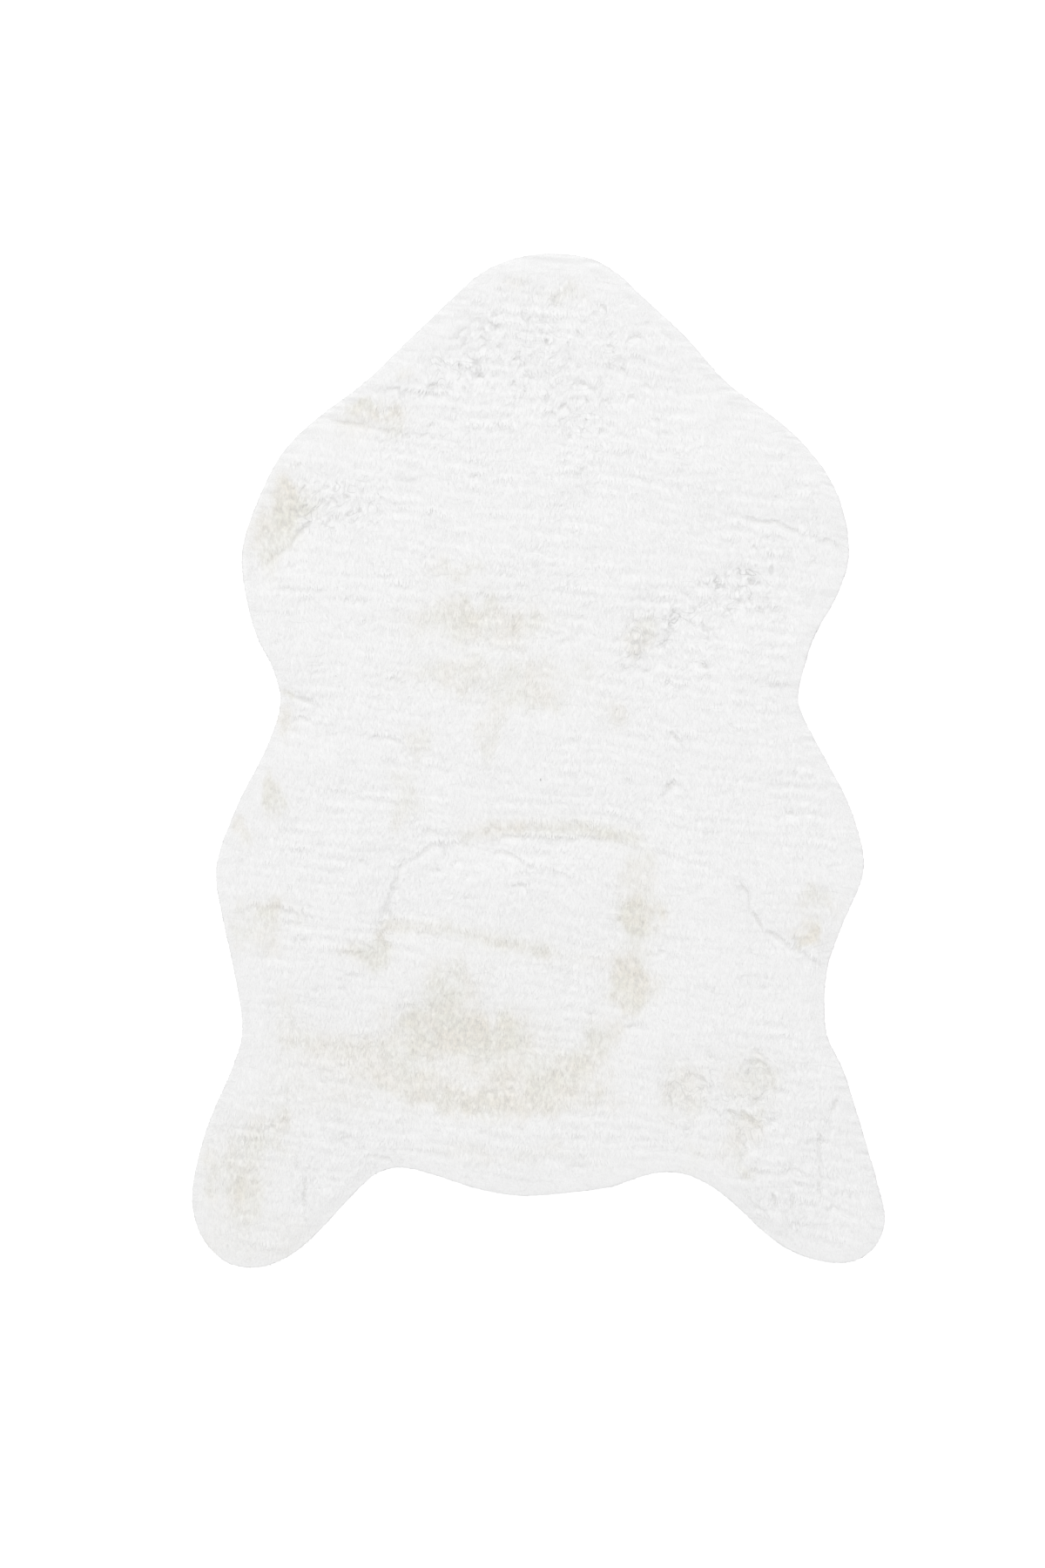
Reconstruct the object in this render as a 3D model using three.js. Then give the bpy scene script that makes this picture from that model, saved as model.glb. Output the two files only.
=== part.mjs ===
// A small fur rug in the outline of a hide: one piece of deep pile on a knitted backing, lying flat
// with its pile up. Millimetres, +Z up, +Y towards the neck end. The origin is on the underside, at
// the middle of the rug's length and width.
import * as THREE from 'three';

// Driving sizes.
const LENGTH = 900; // neck to the tips of the hind legs
const WIDTH = 615; // across the hind legs
const THICKNESS = 15; // backing and pile together, where the pile stands untouched
const BACKING_INSET = 3; // how far the pile hangs out past the cut edge of its backing
const BULGE_HEIGHT = 4; // height of the widest line of the rounded edge
const EDGE_ROLL = 17; // how far in from the edge the pile reaches its full height
const ROLL_STEPS = 4; // steps of the rounded edge, from its widest line to the full height
const STEPS_PER_SECTION = 3; // rows of facets between two sections
const STEPS_PER_HEM_POINT = 2; // columns of facets between two points of the hem

// Cross sections, from the neck to the hind legs: how far up the rug each one lies, and its left
// and right edges.
const SECTIONS = [
  { at: 'neck corners', y: 416, left: -71, right: 87 },
  { at: 'upper neck', y: 376, left: -113, right: 130 },
  { at: 'lower neck', y: 336, left: -155, right: 166 },
  { at: 'neck runs into shoulders', y: 304, left: -197, right: 209 },
  { at: 'top of shoulders', y: 276, left: -226, right: 239 },
  { at: 'upper shoulders', y: 238, left: -247, right: 264 },
  { at: 'widest shoulders', y: 186, left: -264, right: 275 },
  { at: 'lower shoulders', y: 148, left: -261, right: 265 },
  { at: 'above the waist', y: 110, left: -251, right: 244 },
  { at: 'top of the waist', y: 82, left: -237, right: 235 },
  { at: 'waist', y: 52, left: -230, right: 230 },
  { at: 'below the waist', y: 12, left: -242, right: 248 },
  { at: 'upper flanks', y: -42, left: -269, right: 276 },
  { at: 'widest flanks', y: -96, left: -287, right: 288 },
  { at: 'lower flanks', y: -142, left: -281, right: 271 },
  { at: 'above the hips', y: -184, left: -272, right: 256 },
  { at: 'hips', y: -242, left: -264, right: 255 },
  { at: 'top of hind legs', y: -274, left: -273, right: 269 },
  { at: 'middle of hind legs', y: -326, left: -295, right: 286 },
  { at: 'lower hind legs', y: -380, left: -308, right: 301 },
  { at: 'widest hind legs', y: -408, left: -306, right: 307 },
  { at: 'toe corners', y: -431, left: -295, right: 299 },
];

// The hem from the left toe, past the tail, to the right toe.
const HEM = [
  { at: 'left toe', x: -274, y: -448 },
  { at: 'left toe', x: -246, y: -450 },
  { at: 'left toe', x: -217, y: -437 },
  { at: 'inside of left leg', x: -190, y: -412 },
  { at: 'inside of left leg', x: -163, y: -383 },
  { at: 'left crotch', x: -144, y: -367 },
  { at: 'left crotch', x: -124, y: -362 },
  { at: 'left of tail', x: -95, y: -368 },
  { at: 'left of tail', x: -58, y: -380 },
  { at: 'tail', x: -16, y: -387 },
  { at: 'tail', x: 28, y: -384 },
  { at: 'right of tail', x: 64, y: -379 },
  { at: 'right of tail', x: 94, y: -369 },
  { at: 'right crotch', x: 119, y: -366 },
  { at: 'right crotch', x: 145, y: -374 },
  { at: 'inside of right leg', x: 172, y: -393 },
  { at: 'inside of right leg', x: 198, y: -418 },
  { at: 'right toe', x: 224, y: -436 },
  { at: 'right toe', x: 250, y: -445 },
  { at: 'right toe', x: 280, y: -445 },
];

// The round end of the neck, from right to left.
const NECK = [
  { at: 'right of neck', x: 70, y: 432 },
  { at: 'right of neck', x: 47, y: 445 },
  { at: 'end of neck', x: 12, y: 450 },
  { at: 'left of neck', x: -24, y: 445 },
  { at: 'left of neck', x: -51, y: 433 },
];

// Folds that stay in the cloth, each a straight stretch: a positive rise is a soft ridge, a
// negative one a soft trough, and the width is how far the fold is felt to either side.
const FOLDS = [
  { at: 'arch over the belly, foot', fromX: -140, fromY: -184, toX: -134, toY: -146, width: 12, rise: -3.5 },
  { at: 'arch over the belly, bend', fromX: -134, fromY: -146, toX: -112, toY: -110, width: 12, rise: -3.5 },
  { at: 'arch over the belly, left', fromX: -112, fromY: -110, toX: -66, toY: -76, width: 12, rise: -3.5 },
  { at: 'arch over the belly, crown', fromX: -66, fromY: -76, toX: 90, toY: -72, width: 11, rise: -3.5 },
  { at: 'arch over the belly, right', fromX: 90, fromY: -72, toX: 98, toY: -210, width: 14, rise: -2 },
  { at: 'ridge inside the arch', fromX: -76, fromY: -102, toX: 62, toY: -100, width: 14, rise: 2.5 },
  { at: 'second arch', fromX: -118, fromY: -150, toX: 24, toY: -172, width: 12, rise: -2.5 },
  { at: 'left waist', fromX: -226, fromY: 60, toX: -188, toY: 48, width: 12, rise: -4 },
  { at: 'below the left waist', fromX: -226, fromY: 42, toX: -118, toY: 18, width: 14, rise: -2.5 },
  { at: 'left flank', fromX: -190, fromY: -24, toX: -104, toY: -38, width: 14, rise: -2 },
  { at: 'left flank ridge', fromX: -196, fromY: -2, toX: -108, toY: -12, width: 16, rise: 1.5 },
  { at: 'left shoulder', fromX: -256, fromY: 168, toX: -202, toY: 212, width: 12, rise: -3.5 },
  { at: 'upper left ridge', fromX: -148, fromY: 336, toX: -66, toY: 322, width: 13, rise: 2.5 },
  { at: 'upper left trough', fromX: -184, fromY: 302, toX: -112, toY: 288, width: 12, rise: -3 },
  { at: 'right shoulder', fromX: 172, fromY: 220, toX: 268, toY: 192, width: 12, rise: -3 },
  { at: 'right shoulder ridge', fromX: 168, fromY: 240, toX: 262, toY: 222, width: 13, rise: 1.5 },
  { at: 'right waist ridge', fromX: 176, fromY: 82, toX: 228, toY: 68, width: 13, rise: 2.5 },
  { at: 'right flank', fromX: 180, fromY: -110, toX: 202, toY: -152, width: 12, rise: -3.5 },
  { at: 'right flank to the edge', fromX: 202, fromY: -152, toX: 250, toY: -184, width: 12, rise: -3 },
  { at: 'left crotch', fromX: -176, fromY: -336, toX: -126, toY: -350, width: 12, rise: -3.5 },
  { at: 'left leg', fromX: -206, fromY: -372, toX: -208, toY: -412, width: 12, rise: -3.5 },
  { at: 'right leg', fromX: 252, fromY: -334, toX: 253, toY: -386, width: 12, rise: -3 },
  { at: 'inside of right leg', fromX: 206, fromY: -392, toX: 220, toY: -410, width: 12, rise: -2.5 },
];

// Places where the pile lies open or pressed down, as soft-edged ovals.
const WORN_PLACES = [
  { at: 'neck, middle', x: 0, y: 412, halfWidth: 48, halfLength: 12, drop: 1.5 },
  { at: 'neck, left', x: -74, y: 350, halfWidth: 34, halfLength: 18, drop: 2 },
  { at: 'neck, middle column', x: 40, y: 288, halfWidth: 24, halfLength: 50, drop: 1.5 },
  { at: 'left shoulder, top', x: -148, y: 307, halfWidth: 26, halfLength: 13, drop: 2.5 },
  { at: 'left shoulder, edge', x: -228, y: 208, halfWidth: 20, halfLength: 34, drop: 3 },
  { at: 'right shoulder, ruffled', x: 168, y: 150, halfWidth: 44, halfLength: 22, drop: 2 },
  { at: 'right shoulder, ruffled', x: 110, y: 104, halfWidth: 30, halfLength: 24, drop: 2 },
  { at: 'back, upper', x: -50, y: 122, halfWidth: 54, halfLength: 18, drop: 2.5 },
  { at: 'back, middle', x: -40, y: 66, halfWidth: 64, halfLength: 16, drop: 2.5 },
  { at: 'back, lower left', x: -114, y: -4, halfWidth: 16, halfLength: 42, drop: 1.5 },
  { at: 'belly, right', x: 90, y: -146, halfWidth: 24, halfLength: 24, drop: 3 },
  { at: 'belly, right', x: 88, y: -198, halfWidth: 22, halfLength: 20, drop: 3 },
  { at: 'belly, left', x: -92, y: -240, halfWidth: 60, halfLength: 30, drop: 3 },
  { at: 'belly, middle', x: -40, y: -272, halfWidth: 84, halfLength: 32, drop: 3 },
  { at: 'left hip', x: -198, y: -238, halfWidth: 40, halfLength: 18, drop: 2 },
  { at: 'left leg', x: -254, y: -360, halfWidth: 28, halfLength: 42, drop: 3 },
  { at: 'left flank, edge', x: -240, y: -160, halfWidth: 22, halfLength: 14, drop: 2 },
  { at: 'right flank, edge', x: 238, y: -152, halfWidth: 16, halfLength: 16, drop: 2.5 },
  { at: 'right leg, ruffled', x: 140, y: -290, halfWidth: 22, halfLength: 30, drop: 3 },
  { at: 'right leg, ruffled', x: 190, y: -302, halfWidth: 18, halfLength: 40, drop: 3 },
];

// Long, low waves of a cloth that has been rolled up and laid out again.
const WAVES = [
  { length: 190, heading: 95, rise: 0.5 },
  { length: 118, heading: 78, rise: 0.4 },
  { length: 83, heading: 20, rise: 0.3 },
];

// How far a point lies from a fold's straight stretch.
function distanceToFold(fold, x, y) {
  const along = new THREE.Vector2(fold.toX - fold.fromX, fold.toY - fold.fromY);
  const reach = new THREE.Vector2(x - fold.fromX, y - fold.fromY);
  const share = THREE.MathUtils.clamp(reach.dot(along) / along.lengthSq(), 0, 1);
  return reach.addScaledVector(along, -share).length();
}

// Height of the pile's tips over the floor.
function surfaceHeight(x, y) {
  let height = THICKNESS;
  for (const fold of FOLDS) {
    height += fold.rise * Math.exp(-((distanceToFold(fold, x, y) / fold.width) ** 2));
  }
  for (const place of WORN_PLACES) {
    const across = (x - place.x) / place.halfWidth;
    const along = (y - place.y) / place.halfLength;
    height -= place.drop * Math.exp(-(across ** 4) - along ** 4);
  }
  for (const wave of WAVES) {
    const heading = THREE.MathUtils.degToRad(wave.heading);
    const run = x * Math.cos(heading) + y * Math.sin(heading);
    height += wave.rise * Math.sin((2 * Math.PI * run) / wave.length);
  }
  return height;
}

// The outline's points, counterclockwise from above: down the left side, along the hem, up the
// right side and over the neck.
const downTheSections = SECTIONS.map((section) => new THREE.Vector3(section.left, section.y));
const upTheSections = SECTIONS.map((section) => new THREE.Vector3(section.right, section.y)).reverse();
const outlinePoints = [
  ...downTheSections,
  ...HEM.map((point) => new THREE.Vector3(point.x, point.y)),
  ...upTheSections,
  ...NECK.map((point) => new THREE.Vector3(point.x, point.y)),
];

// One smooth closed curve, brought to exactly the rug's length and width.
const CURVE_SAMPLES = 2000;
const roughOutline = new THREE.CatmullRomCurve3(outlinePoints, true, 'centripetal');
const roughBox = new THREE.Box3().setFromPoints(roughOutline.getPoints(CURVE_SAMPLES));
const roughSize = roughBox.getSize(new THREE.Vector3());
const roughCentre = roughBox.getCenter(new THREE.Vector3());
const fit = new THREE.Vector3(WIDTH / roughSize.x, LENGTH / roughSize.y, 1);
const outline = new THREE.CatmullRomCurve3(
  outlinePoints.map((point) => point.clone().sub(roughCentre).multiply(fit)),
  true,
  'centripetal',
);

// A point of the outline moved inwards; place counts the outline's points from its first one.
function edgePoint(place, inset) {
  const share = (place / outlinePoints.length) % 1;
  const point = outline.getPoint(share);
  const tangent = outline.getTangent(share);
  return new THREE.Vector2(point.x - tangent.y * inset, point.y + tangent.x * inset);
}

// Places round the outline where facets begin, one list for each side of the facet grid.
const sideSpans = SECTIONS.length - 1;
const hemSpans = HEM.length + 1;
const neckSpans = NECK.length + 1;
const rows = sideSpans * STEPS_PER_SECTION;
const columns = hemSpans * STEPS_PER_HEM_POINT;
const stepsAlong = (start, spans, steps) =>
  Array.from({ length: steps }, (_, step) => start + (spans * step) / steps);
const leftPlaces = stepsAlong(0, sideSpans, rows);
const hemPlaces = stepsAlong(sideSpans, hemSpans, columns);
const rightPlaces = stepsAlong(sideSpans + hemSpans, sideSpans, rows);
const neckPlaces = stepsAlong(2 * sideSpans + hemSpans, neckSpans, columns);
const perimeter = [...leftPlaces, ...hemPlaces, ...rightPlaces, ...neckPlaces];

const positions = [];
const triangles = [];

// Adds a vertex and gives its number.
function addVertex(point, height) {
  positions.push(point.x, point.y, height);
  return positions.length / 3 - 1;
}

// One ring of vertices right round the rug, at an inset and at a share of the pile's height
// above the widest line of the edge.
function addRing(inset, heightShare) {
  return perimeter.map((place) => {
    const point = edgePoint(place, inset);
    const height = surfaceHeight(point.x, point.y);
    return addVertex(point, BULGE_HEIGHT + (height - BULGE_HEIGHT) * heightShare);
  });
}

// Joins a ring to the next one further in and up.
function addBand(outer, inner) {
  outer.forEach((corner, step) => {
    const next = (step + 1) % outer.length;
    triangles.push(corner, outer[next], inner[next]);
    triangles.push(corner, inner[next], inner[step]);
  });
}

// The flat underside, bounded by the cut edge of the backing.
const undersideEdge = perimeter.map((place) => edgePoint(place, BACKING_INSET));
const undersideRing = undersideEdge.map((point) => addVertex(point, 0));
for (const [a, b, c] of THREE.ShapeUtils.triangulateShape(undersideEdge, [])) {
  triangles.push(undersideRing[a], undersideRing[c], undersideRing[b]);
}

// The rounded edge.
let ring = undersideRing;
for (let step = 0; step <= ROLL_STEPS; step += 1) {
  const turn = (Math.PI / 2) * (step / ROLL_STEPS);
  const nextRing = addRing(EDGE_ROLL * (1 - Math.cos(turn)), Math.sin(turn));
  addBand(ring, nextRing);
  ring = nextRing;
}

// The top, a grid of facets blended between the four stretches of its edge.
const edgeOfTop = perimeter.map((place) => edgePoint(place, EDGE_ROLL));
const leftOfTop = edgeOfTop.slice(0, rows + 1);
const hemOfTop = edgeOfTop.slice(rows, rows + columns + 1);
const rightOfTop = edgeOfTop.slice(rows + columns, 2 * rows + columns + 1).reverse();
const neckOfTop = [...edgeOfTop.slice(2 * rows + columns), edgeOfTop[0]].reverse();

function topPoint(row, column) {
  const down = row / rows;
  const across = column / columns;
  return new THREE.Vector2()
    .addScaledVector(leftOfTop[row], 1 - across)
    .addScaledVector(rightOfTop[row], across)
    .addScaledVector(neckOfTop[column], 1 - down)
    .addScaledVector(hemOfTop[column], down)
    .addScaledVector(leftOfTop[0], -(1 - down) * (1 - across))
    .addScaledVector(rightOfTop[0], -(1 - down) * across)
    .addScaledVector(leftOfTop[rows], -down * (1 - across))
    .addScaledVector(rightOfTop[rows], -down * across);
}

// The last ring already holds the vertices of the grid's own edge.
function topVertex(row, column) {
  if (column === 0) return ring[row];
  if (row === rows) return ring[rows + column];
  if (column === columns) return ring[2 * rows + columns - row];
  if (row === 0) return ring[2 * (rows + columns) - column];
  const point = topPoint(row, column);
  return addVertex(point, surfaceHeight(point.x, point.y));
}

const topVertices = [];
for (let row = 0; row <= rows; row += 1) {
  topVertices.push(Array.from({ length: columns + 1 }, (_, column) => topVertex(row, column)));
}
for (let row = 0; row < rows; row += 1) {
  for (let column = 0; column < columns; column += 1) {
    const upperLeft = topVertices[row][column];
    const upperRight = topVertices[row][column + 1];
    const lowerLeft = topVertices[row + 1][column];
    const lowerRight = topVertices[row + 1][column + 1];
    triangles.push(upperLeft, lowerLeft, lowerRight);
    triangles.push(upperLeft, lowerRight, upperRight);
  }
}

const furGeometry = new THREE.BufferGeometry();
furGeometry.setAttribute('position', new THREE.Float32BufferAttribute(positions, 3));
furGeometry.setIndex(triangles);
furGeometry.computeVertexNormals();

const whiteFur = new THREE.MeshStandardMaterial({ color: 0xf1f0ee, roughness: 0.95, metalness: 0 });
const furRug = new THREE.Mesh(furGeometry, whiteFur);
furRug.name = 'fur_rug';

const rug = new THREE.Group();
rug.add(furRug);

export default rug;
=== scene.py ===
import math
import bmesh
import bpy
import numpy as np
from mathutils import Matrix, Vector
from mathutils.bvhtree import BVHTree
from mathutils.geometry import tessellate_polygon
from mathutils.kdtree import KDTree


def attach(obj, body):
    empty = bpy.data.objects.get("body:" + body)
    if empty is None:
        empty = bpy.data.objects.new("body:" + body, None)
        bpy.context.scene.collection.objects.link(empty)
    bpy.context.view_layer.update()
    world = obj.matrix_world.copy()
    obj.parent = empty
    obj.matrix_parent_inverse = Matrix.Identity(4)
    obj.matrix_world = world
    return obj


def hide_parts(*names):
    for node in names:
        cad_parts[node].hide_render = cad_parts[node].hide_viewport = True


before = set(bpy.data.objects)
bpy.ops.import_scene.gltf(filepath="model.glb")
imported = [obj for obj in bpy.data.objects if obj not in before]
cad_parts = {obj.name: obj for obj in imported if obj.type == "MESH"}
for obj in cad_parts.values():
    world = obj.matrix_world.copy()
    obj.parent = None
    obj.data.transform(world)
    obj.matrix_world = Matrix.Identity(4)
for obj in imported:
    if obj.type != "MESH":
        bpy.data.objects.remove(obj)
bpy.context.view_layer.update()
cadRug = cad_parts["fur_rug"]
mm = 0.001
print("frame loaded")

view = {
    "seenLength": 1.3896,  # metres of floor from the top to the bottom of the frame
    "aim": (-0.0143, -0.0208),  # point of the floor under the middle of the frame
    "lens": 85,
    "sensor": 36,
    "pileTop": 15 * mm,
}
cameraData = bpy.data.cameras.new("camera")
cameraData.lens = view["lens"]
cameraData.sensor_width = view["sensor"]
cameraData.dof.use_dof = False
camera = bpy.data.objects.new("camera", cameraData)
bpy.context.scene.collection.objects.link(camera)
cameraRise = view["seenLength"] * view["lens"] / view["sensor"]
camera.location = (*view["aim"], view["pileTop"] + cameraRise)
camera.rotation_euler = (0, 0, 0)  # straight down
bpy.context.scene.camera = camera


class Wire:
    # one socket of a node tree, with arithmetic that adds the nodes it needs
    def __init__(self, tree, socket=None):
        self.tree = tree
        self.socket = socket

    def node(self, kind, settings=None, inputs=None, output=0):
        made = self.tree.nodes.new(kind)
        for key, value in (settings or {}).items():
            setattr(made, key, value)
        for key, value in (inputs or {}).items():
            if isinstance(value, Wire):
                self.tree.links.new(value.socket, made.inputs[key])
            else:
                made.inputs[key].default_value = value
        return Wire(self.tree, made.outputs[output])

    def maths(self, operation, a, b=0.0, clamp=False):
        return self.node("ShaderNodeMath", {"operation": operation, "use_clamp": clamp}, {0: a, 1: b})

    def __add__(self, other):
        return self.maths("ADD", self, other)

    def __radd__(self, other):
        return self.maths("ADD", other, self)

    def __sub__(self, other):
        return self.maths("SUBTRACT", self, other)

    def __rsub__(self, other):
        return self.maths("SUBTRACT", other, self)

    def __mul__(self, other):
        return self.maths("MULTIPLY", self, other)

    def __rmul__(self, other):
        return self.maths("MULTIPLY", other, self)

    def clamped(self):
        return self.maths("ADD", self, 0.0, True)

    def fraction(self):
        return self.maths("FRACT", self)

    def size(self):
        return self.maths("ABSOLUTE", self)

    def sine(self):
        return self.maths("SINE", self)

    def stretched(self, by):
        return self.node("ShaderNodeVectorMath", {"operation": "MULTIPLY"}, {0: self, 1: by})

    def noise(self, scale, detail=1.0, bend=0.0):
        # a noise read at this place
        return self.node("ShaderNodeTexNoise", {}, {
            "Vector": self, "Scale": scale, "Detail": detail, "Distortion": bend})

    def mixed(self, a, b):
        # from colour a to colour b as this share grows
        return self.node("ShaderNodeMix", {"data_type": "RGBA"}, {0: self, 6: a, 7: b}, 2)

    def feed(self, target):
        self.tree.links.new(self.socket, target)


studio = {
    "skyStrength": 0.749,
    "skySeen": 1.0,  # the bare backdrop behind the floor, lighting nothing
    "skyColor": (1.0, 1.0, 1.0),
    "keyPower": 548,
    "keySize": 4,
    "keyPlace": (-2.8, 6.8, 10),
    "floorColor": (0.93, 0.93, 0.93),
    "floorRoughness": 0.9,
    "floorSpecular": 0.1,
    "floorGlow": 0.55,
    "floorSize": 60,
}


def makeFloor():
    bm = bmesh.new()
    bmesh.ops.create_grid(bm, x_segments=1, y_segments=1, size=studio["floorSize"] / 2)
    mesh = bpy.data.meshes.new("floor")
    bm.to_mesh(mesh)
    bm.free()
    floor = bpy.data.objects.new("floor", mesh)
    bpy.context.scene.collection.objects.link(floor)
    paint = bpy.data.materials.new("paleFloor")
    paint.use_nodes = True
    shader = paint.node_tree.nodes["Principled BSDF"]
    shader.inputs["Base Color"].default_value = (*studio["floorColor"], 1)
    shader.inputs["Roughness"].default_value = studio["floorRoughness"]
    shader.inputs["Specular IOR Level"].default_value = studio["floorSpecular"]
    shader.inputs["Emission Color"].default_value = (1, 1, 1, 1)
    shader.inputs["Emission Strength"].default_value = studio["floorGlow"]
    mesh.materials.append(paint)


def makeStudio():
    world = bpy.data.worlds.new("paleRoom")
    bpy.context.scene.world = world
    world.use_nodes = True
    wires = Wire(world.node_tree)
    paint = (*studio["skyColor"], 1)
    light = wires.node("ShaderNodeBackground", {}, {"Color": paint, "Strength": studio["skyStrength"]})
    seen = wires.node("ShaderNodeBackground", {}, {"Color": paint, "Strength": studio["skySeen"]})
    sky = wires.node("ShaderNodeMixShader", {}, {0: wires.node("ShaderNodeLightPath"), 1: light, 2: seen})
    sky.feed(world.node_tree.nodes["World Output"].inputs["Surface"])
    keyData = bpy.data.lights.new("keyLight", "AREA")
    keyData.shape = "DISK"
    keyData.size = studio["keySize"]
    keyData.energy = studio["keyPower"]
    key = bpy.data.objects.new("keyLight", keyData)
    bpy.context.scene.collection.objects.link(key)
    key.location = studio["keyPlace"]
    key.rotation_euler = (-key.location).to_track_quat("-Z", "Y").to_euler()
    makeFloor()


makeStudio()
bpy.context.scene.view_settings.view_transform = "Standard"
print("studio made")

# plan maps tell what the pile does at each place of the rug
plan = {
    "step": 0.8 * mm,
    "edgeStep": 4 * mm,
    "low": (-0.322, -0.464),
    "high": (0.322, 0.464),
    "edgeRoll": 17 * mm,  # how far in from the edge the pile reaches its full height
    "bulgeHeight": 10.5 * mm,  # height of the widest line of the edge
    "rimTurn": 0.07,  # how far the tips of the pile lean outwards at the very rim
    "outlinePoints": 2800,
    "onFloor": 0.1 * mm,  # what lies lower than this belongs to the flat underside
    "carryTimes": 30,  # rounds of smoothing that carry the top on past the rounded edge
    "smoothTimes": 3,
    "broadTimes": 80,
    "creaseShare": 0.12,  # how much of the CAD rug's creases the soft pile lets through
    "hiddenSize": 0.43,  # the side that hardly shows, on a cloth's own square map
    "hiddenStart": (0.7, 0),
}


def fourCorners(table, i, j, nextI, nextJ, fu, fv):
    # the value between four corners of a table's cell
    a = table[i, j] * (1 - fu) + table[nextI, j] * fu
    b = table[i, nextJ] * (1 - fu) + table[nextI, nextJ] * fu
    return a * (1 - fv) + b * fv


class PlanMap:
    # a number for each place of the plan, read between its grid points
    def __init__(self, values, step):
        self.values = values
        self.step = step

    def at(self, x, y):
        u = np.clip((x - plan["low"][0]) / self.step, 0, self.values.shape[0] - 1.001)
        v = np.clip((y - plan["low"][1]) / self.step, 0, self.values.shape[1] - 1.001)
        i = u.astype(int)
        j = v.astype(int)
        return fourCorners(self.values, i, j, i + 1, j + 1, u - i, v - j)


def gridOf(step):
    xs = np.arange(plan["low"][0], plan["high"][0] + step / 2, step)
    ys = np.arange(plan["low"][1], plan["high"][1] + step / 2, step)
    return np.meshgrid(xs, ys, indexing="ij")


def blurred(values, times):
    for _ in range(times):
        padded = np.pad(values, 1, mode="edge")
        beside = padded[:-2, 1:-1] + padded[2:, 1:-1] + padded[1:-1, :-2] + padded[1:-1, 2:]
        values = (beside + 2 * values) / 6
    return values


def readOutline(node):
    # walks round the CAD rug's flat underside and takes the widest line just outside it
    bm = bmesh.new()
    bm.from_mesh(node.data)
    bmesh.ops.remove_doubles(bm, verts=bm.verts, dist=1e-6)
    under = {f for f in bm.faces if f.normal.z < -0.99 and f.calc_center_median().z < plan["onFloor"]}
    rim = [e for e in bm.edges if sum(f in under for f in e.link_faces) == 1]
    nextAlong = {}
    for edge in rim:
        face = next(f for f in edge.link_faces if f in under)
        for loop in face.loops:
            if loop.edge == edge:
                nextAlong[loop.link_loop_next.vert] = loop.vert
    start = rim[0].verts[0]
    walk = [start]
    while nextAlong[walk[-1]] is not start:
        walk.append(nextAlong[walk[-1]])
    points = []
    for vert in walk:
        beside = [e.other_vert(vert) for e in vert.link_edges]
        outer = [v for v in beside if v.co.z > plan["onFloor"]]
        widest = min(outer, key=lambda v: (v.co - vert.co).length)
        points.append((widest.co.x, widest.co.y))
    bm.free()
    return np.array(points)


def smoothLoop(points, count):
    # closed Catmull-Rom curve through the points, then evenly spaced along its length
    steps = 12
    t = (np.arange(steps) / steps)[None, :, None]
    a = np.roll(points, 1, 0)[:, None]
    b = points[:, None]
    c = np.roll(points, -1, 0)[:, None]
    d = np.roll(points, -2, 0)[:, None]
    fine = 0.5 * (2 * b + (c - a) * t + (2 * a - 5 * b + 4 * c - d) * t**2 + (3 * b - a - 3 * c + d) * t**3)
    fine = fine.reshape(-1, 2)
    closed = np.vstack([fine, fine[:1]])
    along = np.concatenate([[0], np.cumsum(np.linalg.norm(np.diff(closed, axis=0), axis=1))])
    wanted = np.linspace(0, along[-1], count, endpoint=False)
    return np.column_stack([np.interp(wanted, along, closed[:, k]) for k in (0, 1)]), along[-1]


def planArea(points):
    ahead = np.roll(points, -1, 0)
    return 0.5 * np.sum(points[:, 0] * ahead[:, 1] - ahead[:, 0] * points[:, 1])


outlinePoints = readOutline(cadRug)
if planArea(outlinePoints) < 0:
    outlinePoints = outlinePoints[::-1]
outline, outlineLength = smoothLoop(outlinePoints, plan["outlinePoints"])
print("outline read:", len(outlinePoints), "points,", round(outlineLength, 3), "m round")


def makeEdgeMap():
    # distance in from the outline, negative outside it, and the height of the CAD rug's top
    step = plan["edgeStep"]
    x, y = gridOf(step)
    tree = KDTree(len(outline))
    for k, (px, py) in enumerate(outline):
        tree.insert((px, py, 0), k)
    tree.balance()
    solid = BVHTree.FromObject(cadRug, bpy.context.evaluated_depsgraph_get())
    distance = np.zeros(x.shape)
    height = np.zeros(x.shape)
    down = Vector((0, 0, -1))
    for i in range(x.shape[0]):
        for j in range(x.shape[1]):
            place = Vector((x[i, j], y[i, j], 0))
            gap = tree.find(place)[2]
            hit = solid.ray_cast(Vector((place.x, place.y, 1)), down)[0]
            distance[i, j] = gap if hit else -gap
            height[i, j] = hit.z if hit else 0
    known = distance > plan["edgeRoll"]
    filled = np.where(known, height, 0)
    weight = known.astype(float)
    for _ in range(plan["carryTimes"]):
        filled = np.where(known, height, blurred(filled, 1))
        weight = np.where(known, 1.0, blurred(weight, 1))
    spread = np.where(weight > 1e-6, filled / np.maximum(weight, 1e-9), height[known].mean())
    spread = blurred(spread, plan["smoothTimes"])
    broad = blurred(spread, plan["broadTimes"])
    return PlanMap(distance, step), PlanMap(broad + plan["creaseShare"] * (spread - broad), step)


edgeMap, topMap = makeEdgeMap()


def edgeSlope(x, y):
    # unit vector straight in from the nearest edge
    reach = 2 * mm
    gx = edgeMap.at(x + reach, y) - edgeMap.at(x - reach, y)
    gy = edgeMap.at(x, y + reach) - edgeMap.at(x, y - reach)
    size = np.maximum(np.hypot(gx, gy), 1e-9)
    return gx / size, gy / size


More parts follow.
